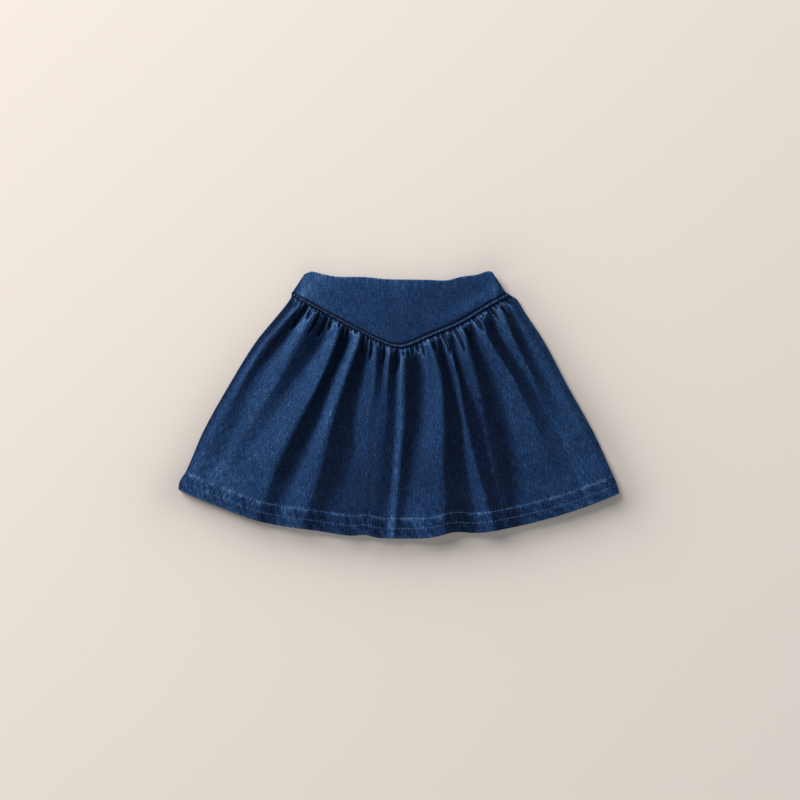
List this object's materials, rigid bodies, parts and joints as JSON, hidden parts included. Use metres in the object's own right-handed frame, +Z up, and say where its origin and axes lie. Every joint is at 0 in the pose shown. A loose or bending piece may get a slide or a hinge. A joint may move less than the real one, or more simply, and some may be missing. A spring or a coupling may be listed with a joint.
{
  "type": "denim mini skirt",
  "caption": "Toddler's flared denim mini skirt laid flat: pointed yoke, gathered front and back panels, elasticated back waistband and a turned-up stitched hem.",
  "frame": {"origin": "on the table under the middle of the skirt's outline", "axes": "+X to the right as seen from above, along the hem; +Y from the hem to the waist; +Z up from the table, through the back and then the front"},
  "size_m": [0.4394, 0.2664, 0.0176],
  "materials": {
    "yoke_denim": "mid-blue washed denim, two layers",
    "skirt_denim": "mid-blue washed denim",
    "waistband_denim": "mid-blue washed denim ruched over elastic"
  },
  "bodies": {
    "root": {"front_yoke": "yoke_denim", "front_skirt": "skirt_denim", "back_waistband": "waistband_denim", "back_skirt": "skirt_denim"}
  },
  "joints": []
}
